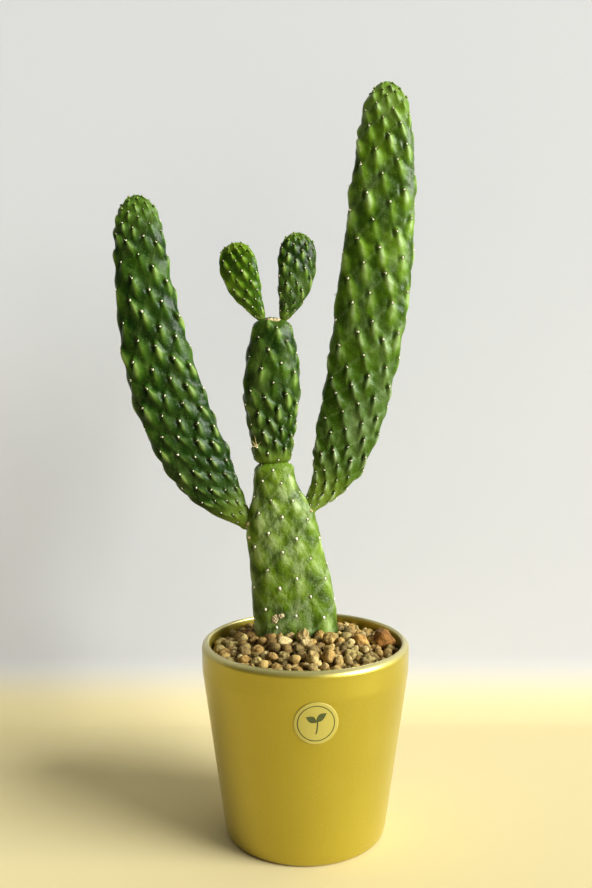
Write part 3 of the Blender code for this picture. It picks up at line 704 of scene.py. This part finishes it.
def needle_template(around=5, bend=0.0, shares=(0.0, 0.35, 0.75), girths=(1.0, 0.8, 0.45)):
    """Tapered needle from z = 0 to z = 1, of radius 1 across, that bends to +y by a share of its length."""
    ring = lathe(np.array(girths), np.array(shares), full_turn(around))
    points = np.vstack([ring.reshape(-1, 3), [[0, 0, -0.05], [0, 0, 1.0]]])
    points[:, 1] += bend * points[:, 2] ** 2
    return points, grid_faces(len(shares), around, True, True), np.clip(points[:, 2], 0, 1)


def dress(pad, materials):
    """Woolly cushions, short spines and tip leaves on one pad's areoles."""
    rng = np.random.default_rng(5 + len(pad.node))
    s, u = pad.areoles.T
    size = pad.size * MM
    point, out, up, side = pad.frames(s, u)
    share = s / pad.length
    radius = (0.036 * size + 0.00018) * rng.uniform(0.75, 1.2, len(s)) * (1.2 if pad.node == "trunk_pad" else 0.9)
    points, faces = dome_template()
    tall = rng.uniform(1.0, 1.6, len(s))
    lay = (point - out * 0.0001, side * radius[:, None], up * (radius * tall)[:, None], out * radius[:, None] * 0.6)
    finish_piece(scatter(pad.node + "_wool", points, faces, lay), materials["wool"], "spine")

    spines = rng.integers(2, 5, len(s))
    owner = np.repeat(np.arange(len(s)), spines)
    length = rng.uniform(0.05, 0.15, len(owner)) * size[owner] + 0.0005
    spread = rng.uniform(0, 2 * math.pi, len(owner))
    tilt = rng.uniform(0.3, 1.15, len(owner))
    aim = (out[owner] * np.cos(tilt)[:, None] + side[owner] * (np.sin(tilt) * np.cos(spread))[:, None]
           + up[owner] * (np.sin(tilt) * np.sin(spread) - 0.15)[:, None])
    aim = unit(aim)
    cross = unit(np.cross(aim, up[owner] + 0.01 * side[owner]))
    thick = np.full((len(owner), 1), 0.00014)
    points, faces, along = needle_template()
    lay = (point[owner], cross * thick, np.cross(aim, cross) * thick, aim * length[:, None])
    finish_piece(scatter(pad.node + "_spines", points, faces, lay, along), materials["spine"], "spine")

    young = share > (0.958 if "young" not in pad.node else 0.86)
    if pad.shape["tip"] == 0 or not young.any() or pad.node == "middle_pad":
        return
    points, faces, along = needle_template(6, 0.35, (0.0, 0.4, 0.8), (1.0, 1.05, 0.5))
    point, out, up, side, size = (a[young] for a in (point, out, up, side, size))
    rise = unit(out + up)
    length = (0.0013 + 0.09 * size * rng.uniform(0.6, 1.2, len(size)))[:, None]
    girth = 0.08 * size[:, None] + 0.0005
    lay = (point - up * 0.0004, side * girth, np.cross(rise, side) * girth, rise * length)
    finish_piece(scatter(pad.node + "_leaves", points, faces, lay, along), materials["leaf"], "young_flesh")


# ---------------------------------------------------------------- gravel


def stone_grid(rng, planes, sharpness, rows, columns):
    """A rounded stone about the origin, its radius in each direction the soft least distance to some random planes.

    radius = (sum over planes of (cosine to the plane / its distance) ^ sharpness) ^ (-1 / sharpness)"""
    tilt = math.pi * (np.arange(rows) + 0.5) / rows
    way = lathe(np.sin(tilt), np.cos(tilt), -full_turn(columns)).reshape(-1, 3)
    way = np.vstack([way, [[0, 0, 1], [0, 0, -1]]])
    face = unit(rng.normal(size=(planes, 3)))
    distance = rng.uniform(0.78, 1.12, planes)
    cosine = np.maximum(way @ face.T, 0) / distance
    radius = ((cosine**sharpness).sum(1) + 0.02) ** (-1 / sharpness)
    lumps = unit(rng.normal(size=(8, 3))) * rng.uniform(2.5, 11, (8, 1))
    radius *= 1 + 0.032 * np.sin(way @ lumps.T + rng.uniform(0, 6, 8)).sum(1)
    return way * radius[:, None], grid_faces(rows, columns, True, True)


STONE_TINTS = np.array([
    (0.50, 0.36, 0.12), (0.62, 0.48, 0.20), (0.38, 0.25, 0.08), (0.44, 0.35, 0.13), (0.48, 0.32, 0.10),
    (0.70, 0.56, 0.26), (0.34, 0.25, 0.09),
])
RUST, AMBER = (0.34, 0.165, 0.035), (0.62, 0.38, 0.11)
UPPER_STONES, LOWER_STONES = 130, 330  # small ones tried for between and under the larger
BED_DOME = 10.5 * MM  # how much higher the gravel is at its middle than at the pot's wall
TRUNK_HALF = np.array([28.6, 14]) * MM  # half the trunk's width and depth at the gravel


def fit_to(points, low, high):
    """Points stretched and moved until they fill a box."""
    least, most = points.min(0), points.max(0)
    return (points - least) / (most - least) * (high - low) + low


def bed_stones(material):
    """The larger stones, each in the box of its solid."""
    names = sorted(n for n in frame["nodes"] if n.startswith("pebble_"))
    for k, node in enumerate(names):
        rng = np.random.default_rng(100 + k)
        round_one = k % 3 == 1
        planes, sharpness = (40, 9) if round_one or k == 0 else (16, 14)
        points, faces = stone_grid(rng, planes, sharpness, 22, 34)
        low, high = corners(node)
        if k == 0:  # the rust-coloured lump is blunt and stands prouder than its neighbours
            points[:, 2] = np.minimum(points[:, 2], 0.55 * points[:, 2].max() + 0.2 * points[:, 2])
            low, high = low + (-0.0012, -0.0012, 0.001), high + (0.0012, 0.0004, 0.003)
        obj = mesh_object(node + "_stone", fit_to(points, low, high), faces)
        tint = {0: RUST, 1: AMBER}.get(k, STONE_TINTS[rng.integers(len(STONE_TINTS))] * rng.uniform(0.85, 1.15))
        store_colour(obj, "tint", np.tile(tint, (len(points), 1)))
        slot = next(p["material_slot"] for p in frame["record"]["subparts"] if p["node"] == node)
        finish_piece(obj, material, slot, node)
    return [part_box(node) for node in names]


class Bed:
    """The dome of gravel inside the pot, read from its solid's box, and the trunk that stands in it."""

    def __init__(self):
        low, high = corners("gravel_bed")
        self.reach = (high[0] - low[0]) / 2
        self.crown = high[2]
        self.edge = self.crown - BED_DOME
        low, high = corners("trunk_pad")
        self.trunk = np.array([high[0] - TRUNK_HALF[0] - 0.6 * MM, (low[1] + high[1]) / 2])

    def height(self, x, y):
        """Height of the dome, which falls with the square of the way out."""
        return self.edge + (self.crown - self.edge) * (1 - (x**2 + y**2) / self.reach**2)

    def clear_of_trunk(self, x, y, radius):
        """Whether a stone lies outside the trunk's superellipse, widened by the stone's radius."""
        across = np.abs(x - self.trunk[0]) / (TRUNK_HALF[0] + radius)
        deep = np.abs(y - self.trunk[1]) / (TRUNK_HALF[1] + radius)
        return across**SECTION_POWER + deep**SECTION_POWER > 1


def loose_stones(bed, taken, count, radii, rise, rng):
    """(x, y, z, radius) of small stones thrown at random where none lies yet, each at its rise above the bed."""
    placed = []
    circles = [((low[0] + high[0]) / 2, (low[1] + high[1]) / 2, (high[0] - low[0] + high[1] - low[1]) / 4)
               for low, high in taken]
    spots = np.array(circles).reshape(-1, 3)
    for k in range(count):
        radius = radii[1] + (radii[0] - radii[1]) * k / count
        for _ in range(400):
            turn, out = rng.uniform(0, 2 * math.pi), (bed.reach - radius) * math.sqrt(rng.random())
            x, y = out * math.cos(turn), out * math.sin(turn)
            if not bed.clear_of_trunk(x, y, radius * 0.7):
                continue
            if len(spots) and (np.hypot(spots[:, 0] - x, spots[:, 1] - y) < (spots[:, 2] + radius) * 0.86).any():
                continue
            placed.append((x, y, bed.height(x, y) + rise * radius, radius))
            spots = np.vstack([spots, [(x, y, radius)]])
            break
    return placed


def small_stones(name, placed, rng, material):
    """All small stones of one layer as one piece, each a turned and squashed copy of its own rounded shape."""
    points, faces, tints = [], [], []
    for x, y, z, radius in placed:
        shape, shape_faces = stone_grid(rng, 18, 10, 6, 9)
        turn = rng.uniform(0, 2 * math.pi)
        spin = np.array([[math.cos(turn), -math.sin(turn), 0], [math.sin(turn), math.cos(turn), 0], [0, 0, 1]])
        squash = np.array([1, rng.uniform(0.75, 1), rng.uniform(0.65, 0.95)])
        start = len(points) * len(shape)
        points.append((shape * squash) @ spin.T * radius + (x, y, z))
        faces += [[index + start for index in face] for face in shape_faces]
        tint = STONE_TINTS[rng.integers(len(STONE_TINTS))] * rng.uniform(0.75, 1.15)
        tints.append(np.tile(tint, (len(shape), 1)))
    obj = mesh_object(name, np.vstack(points), faces)
    store_colour(obj, "tint", np.vstack(tints))
    finish_piece(obj, material, "gravel")


def gravel():
    """All stones, and the ground below them: the bed's dome, roughened by two crossed waves."""
    material = stone()
    taken = bed_stones(material)
    bed = Bed()
    rng = np.random.default_rng(21)
    upper = loose_stones(bed, taken, UPPER_STONES, (2.4 * MM, 4.3 * MM), 0.75, rng)
    lower = loose_stones(bed, [], LOWER_STONES, (2.2 * MM, 3.6 * MM), -0.05, rng)
    small_stones("gravel_upper_layer", upper, rng, material)
    small_stones("gravel_lower_layer", lower, rng, material)
    rows, columns = 60, 160
    out = bed.reach * np.linspace(0.005, 1, rows)[::-1, None]
    turn = full_turn(columns)
    x, y = out * np.cos(turn), out * np.sin(turn)
    grain = 0.0006 * np.sin(x * 1900 + 2 * np.sin(y * 900)) * np.sin(y * 2100 + 1)
    top = np.stack([x, y, bed.height(x, y) + grain - 0.0005], -1)
    under = top[:1] - (0, 0, 0.012)
    grid = np.concatenate([under, top])
    obj = closed_grid("gravel_ground", grid, (0, 0, grid[0, 0, 2]), grid[-1].mean(0))
    # painted shade: the ground between the stones is dark brown
    gap_shade = grained("gravel_ground", (420, 4, 0.7), (0.02, 0.014, 0.008), (0.14, 0.1, 0.055), 1.0, (0.003, 1.0))
    finish_piece(obj, gap_shade, "gravel", "gravel_bed")


# ---------------------------------------------------------------- pot and label

WALL = 5 * MM
FLOOR = 7 * MM
RIM_BAND = 18 * MM
FOOT_RADIUS = 54.3 * MM
LIP_ROUND = 4.2 * MM
LIP_INNER_ROUND = 1.6 * MM
FOOT_ROUND = 3 * MM
POT_COLUMNS, LABEL_COLUMNS = 256, 96


class PotShape:
    """The pot's outside, taken from its solid's box and the foot's radius."""

    def __init__(self):
        low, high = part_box("pot")
        self.rim = (high[0] - low[0]) / 2
        self.height = high[2]

    def outer(self, z):
        """Straight taper to the rim band, then almost upright."""
        start = self.height - RIM_BAND
        below = FOOT_RADIUS + (self.rim - 0.3 * MM - FOOT_RADIUS) * np.minimum(z, start) / start
        return below + 0.3 * MM * np.maximum(z - start, 0) / RIM_BAND

    def profile(self):
        """(r, z) from the middle of the underside round the lip to the middle of the inner floor."""

        def arc(r, z, radius, start, end, count):
            a = np.radians(np.linspace(start, end, count))
            return np.column_stack([r + radius * np.cos(a), z + radius * np.sin(a)])

        foot = arc(FOOT_RADIUS - FOOT_ROUND, FOOT_ROUND, FOOT_ROUND, -90, -8, 10)
        up = np.linspace(foot[-1, 1] + 0.004, self.height - LIP_ROUND - 0.001, 70)
        lip = arc(self.rim - LIP_ROUND, self.height - LIP_ROUND, LIP_ROUND, 0, 86, 16)
        inner = self.rim - WALL
        inner_lip = arc(inner + LIP_INNER_ROUND, self.height - LIP_INNER_ROUND, LIP_INNER_ROUND, 94, 180, 9)
        down = np.linspace(self.height - 4 * MM, FLOOR + FOOT_ROUND, 24)
        under = np.column_stack([np.linspace(0.002, FOOT_RADIUS - 0.006, 8), np.zeros(8)])
        floor = np.column_stack([np.linspace(self.outer(FLOOR) - WALL - FOOT_ROUND, 0.002, 8), np.full(8, FLOOR)])
        outside = np.column_stack([self.outer(up), up])
        inside = np.column_stack([self.outer(down) - WALL, down])
        return np.vstack([under, foot, outside, lip, inner_lip, inside, floor])


def pot(shape):
    """The glazed wall, lip and floor: the profile turned about the vertical."""
    obj = closed_grid("pot_glazed", lathe(*shape.profile().T, full_turn(POT_COLUMNS)), (0, 0, 0), (0, 0, FLOOR))
    finish_piece(obj, glaze(), "glaze", "pot")


def label(shape):
    """Film disc and its printed mark, both bent round the pot's wall from flat (across, up) drawings."""
    low, high = corners("label")
    centre_x, centre_z = (low[0] + high[0]) / 2, (low[2] + high[2]) / 2
    radius = (high[2] - low[2]) / 2
    wall = shape.outer(centre_z)
    middle = math.asin(centre_x / wall)

    def bend(across, up, lift):
        z = centre_z + up
        r = shape.outer(z) + 0.0003 + lift
        angle = middle + across / r
        return np.stack([r * np.sin(angle), -r * np.cos(angle), z * np.ones_like(r)], -1)

    turn = full_turn(LABEL_COLUMNS)
    out = radius * np.concatenate([np.linspace(0.02, 0.985, 26), [1.0]])
    lift = np.concatenate([np.full(26, 0.00025), [0.00012]])
    front = bend(out[:, None] * np.cos(turn), out[:, None] * np.sin(turn), lift[:, None])
    back = bend(radius * np.cos(turn)[None], radius * np.sin(turn)[None], np.full((1, LABEL_COLUMNS), -0.0002))
    grid = np.concatenate([front, back])[::-1]
    obj = closed_grid("label_film", grid, bend(0.0, 0.0, np.array(-0.0002)), bend(0.0, 0.0, np.array(0.00025)))
    film = grained("label_film", (60, 2), (0.42, 0.355, 0.07), (0.48, 0.415, 0.11), 0.42, Coat_Weight=0.2)
    finish_piece(obj, film, "label_paper", "label")

    def strip(name, left, right):
        """A flat shape between two curves of (across, up) points, laid on the film."""
        grid = np.stack([left, right], 1)
        points = bend(grid[..., 0], grid[..., 1], np.full(grid.shape[:2], 0.00031))
        return mesh_object(name, points.reshape(-1, 3), grid_faces(len(left), 2, False, False))

    ink = grained("label_ink", (220, 2), (0.05, 0.07, 0.02), (0.11, 0.12, 0.035), 0.5)
    t = np.linspace(0, 1, 97)[:, None]
    circle = np.hstack([np.cos(2 * math.pi * t), np.sin(2 * math.pi * t)])
    pieces = [strip("label_ring", circle * 0.80 * radius, circle * 0.84 * radius)]
    t = np.linspace(0, 1, 25)[:, None]
    stem = np.hstack([0.06 * np.sin(2.2 * t), -0.5 + 0.62 * t]) * radius
    half = np.array([[0.028 * radius, 0]])
    pieces.append(strip("label_stem", stem - half, stem + half))
    for name, side in (("left", -1), ("right", 1)):
        spine_line = np.hstack([side * 0.46 * t, 0.05 + 0.34 * t**0.7 * (1 + 0.25 * side)])
        width = 0.15 * np.sin(math.pi * t**0.8)
        normal = np.hstack([-0.45 * np.ones_like(t), side * 0.9 * np.ones_like(t)])
        a, b = (spine_line + normal * width) * radius, (spine_line - normal * width) * radius
        pieces.append(strip(f"label_{name}_leaf", a, b))
    for piece in pieces:
        finish_piece(piece, ink, "label_paper")


# ---------------------------------------------------------------- long spines and scars


def spine_tuft(material, cushion):
    """Four long spines from one cushion, spread over the box of their solid."""
    low, high = corners("spine_tuft")
    root = np.array([low[0] + 0.62 * (high[0] - low[0]), high[1] - 0.0014, low[2] + 0.0013])
    ends = np.array([
        (low[0] + 0.22 * (high[0] - low[0]), low[1] + 0.0006, low[2] + 0.66 * (high[2] - low[2])),
        (low[0] + 0.48 * (high[0] - low[0]), low[1] + 0.0002, high[2] - 0.0002),
        (high[0] - 0.0002, low[1] + 0.0004, low[2] + 0.58 * (high[2] - low[2])),
        (low[0] + 0.0002, low[1] + 0.0022, low[2] + 0.30 * (high[2] - low[2])),
    ])
    aim = ends - root
    length = np.linalg.norm(aim, axis=1, keepdims=True)
    way = aim / length
    cross = unit(np.cross(way, (0.2, 1.0, 0.1)))
    points, faces, along = needle_template(8, 0.0, (0.0, 0.2, 0.4, 0.6, 0.8, 0.93), (1.0, 0.92, 0.8, 0.64, 0.42, 0.2))
    thick = 0.00026
    places = (np.tile(root, (4, 1)), cross * thick, np.cross(way, cross) * thick, way * length)
    obj = scatter("spine_tuft_long", points, faces, places, along)
    finish_piece(obj, material, "spine", "spine_tuft")
    points, faces = dome_template(12, 6)
    axes = np.eye(3)[:, None] * 0.0008
    lay = (root[None] + (0, 0.0004, 0), axes[0], axes[2], -axes[1])
    finish_piece(scatter("spine_tuft_wool", points, faces, lay), cushion, "spine")


def scar(name, pad, percent, u, size, seed, material):
    """A corky crust: a low rough dome that follows the pad's skin, its edge and top broken by noise."""
    rng = np.random.default_rng(seed)
    rows, columns = 14, 36
    turn = full_turn(columns)
    edge = 1 + 0.12 * np.sin(2 * turn + rng.uniform(0, 6)) + 0.07 * np.sin(5 * turn + rng.uniform(0, 6))
    out = np.linspace(1, 0.06, rows)[:, None]
    across = (size[0] * out * edge * np.cos(turn)).ravel()
    up = (size[1] * out * edge * np.sin(turn)).ravel()
    s = pad.shape["lead"] + percent / 100 * (pad.length - pad.shape["lead"]) + up
    girth = np.interp(s, pad.s, pad.girth)
    point, normal, _, _ = pad.frames(s, (u - across / girth) % 1)
    lump = 0.5 + 0.5 * np.sin(across * 2.9 + rng.uniform(0, 6)) * np.sin(up * 2.3 + rng.uniform(0, 6))
    rise = (np.sqrt(np.maximum(1 - np.repeat(out[:, 0], columns) ** 2, 0)) * (0.7 + 0.7 * lump) - 0.15) * MM
    grid = (point + normal * rise[:, None]).reshape(rows, columns, 3)
    under = grid[0].mean(0) - normal.mean(0) * 0.6 * MM
    finish_piece(closed_grid(name, grid, under, grid[-1].mean(0)), material, "flesh")


# ---------------------------------------------------------------- stage, light and camera


def stage():
    """Floor that sweeps up into a wall: a straight run, a quarter round and an upright, drawn across."""
    a = np.linspace(-math.pi / 2, 0, 24)
    y = np.concatenate([[-STAGE_REACH, 0.0], WALL_BEHIND - SWEEP + SWEEP * np.cos(a), [WALL_BEHIND]])
    z = np.concatenate([[0.0, 0.0], SWEEP + SWEEP * np.sin(a), [STAGE_REACH]])
    x = np.array([-STAGE_REACH, STAGE_REACH])
    grid = np.stack([np.tile(x, (len(y), 1)), np.tile(y[:, None], (1, 2)), np.tile(z[:, None], (1, 2))], -1)
    grid[..., 2] -= 0.0002  # just under the pot's foot
    obj = mesh_object("stage_sweep", grid.reshape(-1, 3), grid_faces(len(y), 2, False, False))
    obj.data.materials.append(stage_paint())


def area_light(name, place, target, size, power, colour):
    data = bpy.data.lights.new(name, "AREA")
    data.shape = "RECTANGLE"
    data.size, data.size_y = size
    data.energy = power
    data.color = colour
    obj = put(name, data)
    way = unit(np.array(place) - np.array(target))
    side = unit(np.cross((0, 0, 1), way))
    upward = np.cross(way, side)
    obj.matrix_world = Matrix([(side[k], upward[k], way[k], place[k]) for k in range(3)] + [(0, 0, 0, 1)])


def window_light():
    """Daylight from the right and a little in front, soft-edged like a wide window's."""
    data = bpy.data.lights.new("window", "SUN")
    data.energy = SUN_POWER
    data.angle = math.radians(SUN_WIDTH)
    data.color = (0.97, 0.985, 1.0)
    put("window", data).rotation_euler = tuple(math.radians(turn) for turn in SUN_TURN)


def lights():
    window_light()
    area_light("room", (1.3, -1.3, 0.8), (0.0, 0.0, 0.2), (1.5, 1.5), ROOM_POWER, (1.0, 0.99, 0.97))
    world = bpy.data.worlds.new("studio")
    bpy.context.scene.world = world
    world.use_nodes = True
    sky = world.node_tree.nodes["Background"].inputs
    sky["Color"].default_value = (0.93, 0.95, 1.0, 1)
    sky["Strength"].default_value = SKY_POWER
    bpy.context.scene.view_settings.view_transform = "Standard"
    bpy.context.scene.view_settings.look = "Medium High Contrast"


def camera():
    data = bpy.data.cameras.new("camera")
    data.lens = CAMERA_LENS
    data.sensor_width = 36
    data.clip_start = 0.01
    obj = put("camera", data)
    obj.location = CAMERA_PLACE
    obj.rotation_euler = (math.radians(90 - CAMERA_DOWN), 0, 0)
    bpy.context.scene.camera = obj


# ---------------------------------------------------------------- the whole


def plant():
    pale = (0.32, 0.44, 0.13)
    # the skins are lit and shaded copies: the left paddle, middle pad and right young pad get darker colours as
    # painted shade, the right paddle lighter ones as painted light
    skins = {
        "trunk_pad": ((0.075, 0.135, 0.006), (0.17, 0.26, 0.018), (0.15, 0.24, 0.02), (0.48, 0.58, 0.30),
                      0.12, 0.7, 1.0, 0.0),
        "middle_pad": ((0.016, 0.05, 0.002), (0.07, 0.14, 0.008), (0.08, 0.14, 0.02), pale, 0.05, 0.2),
        "left_paddle": ((0.012, 0.045, 0.002), (0.056, 0.125, 0.006), (0.09, 0.165, 0.02), pale,
                        0.04, 0.12, 0.45, 0.65),
        "right_paddle": ((0.06, 0.13, 0.004), (0.175, 0.30, 0.016), (0.17, 0.28, 0.03), (0.42, 0.53, 0.28),
                         0.07, 0.22, 0.45, 0.95),
        "left_young_pad": ((0.045, 0.115, 0.002), (0.185, 0.31, 0.016), (0.22, 0.34, 0.025), pale, 0.03, 0.1),
        "right_young_pad": ((0.018, 0.05, 0.002), (0.07, 0.135, 0.01), (0.12, 0.2, 0.02), pale, 0.03, 0.1),
    }
    materials = {
        "wool": wool(),
        "spine": needle("short_spine", (0.9, 0.87, 0.7), (0.68, 0.56, 0.36)),
        "leaf": needle("tip_leaf", (0.13, 0.23, 0.03), (0.26, 0.24, 0.06), 0.4, 0.2),
    }
    pads = {}
    for node in PADS:
        pad = Pad(node)
        pad.build(pad_skin(node.removesuffix("_pad") + "_skin", *skins[node]))
        dress(pad, materials)
        pads[node] = pad
    spine_tuft(needle("long_spine", (0.80, 0.66, 0.36), (0.52, 0.36, 0.16)), materials["wool"])
    crust = grained("corky_scar", (420, 5, 0.7), (0.30, 0.22, 0.09), (0.78, 0.68, 0.42), 0.85, (0.0012, 0.9))
    # name, pad, percent along, share of the girth from its right edge, half width and half height in mm
    scars = (
        ("trunk_scar_large", "trunk_pad", 15.5, 0.345, (2.3, 3.4)),
        ("trunk_scar_small", "trunk_pad", 17, 0.315, (2.6, 1.7)),
        ("left_joint_scar", "trunk_pad", 68, 0.45, (1.7, 1.5)),
        ("left_joint_scar_low", "trunk_pad", 61, 0.44, (1.3, 1.0)),
        ("right_joint_scar", "trunk_pad", 70, 0.04, (2.2, 1.2)),
        ("middle_top_scar", "middle_pad", 98, 0.24, (5.0, 1.3)),
    )
    for seed, (name, node, percent, u, size) in enumerate(scars, 3):
        scar(name, pads[node], percent, u, size, seed, crust)


stage()
camera()
lights()
plant()
gravel()
finish_hidden()
pot_shape = PotShape()
pot(pot_shape)
label(pot_shape)
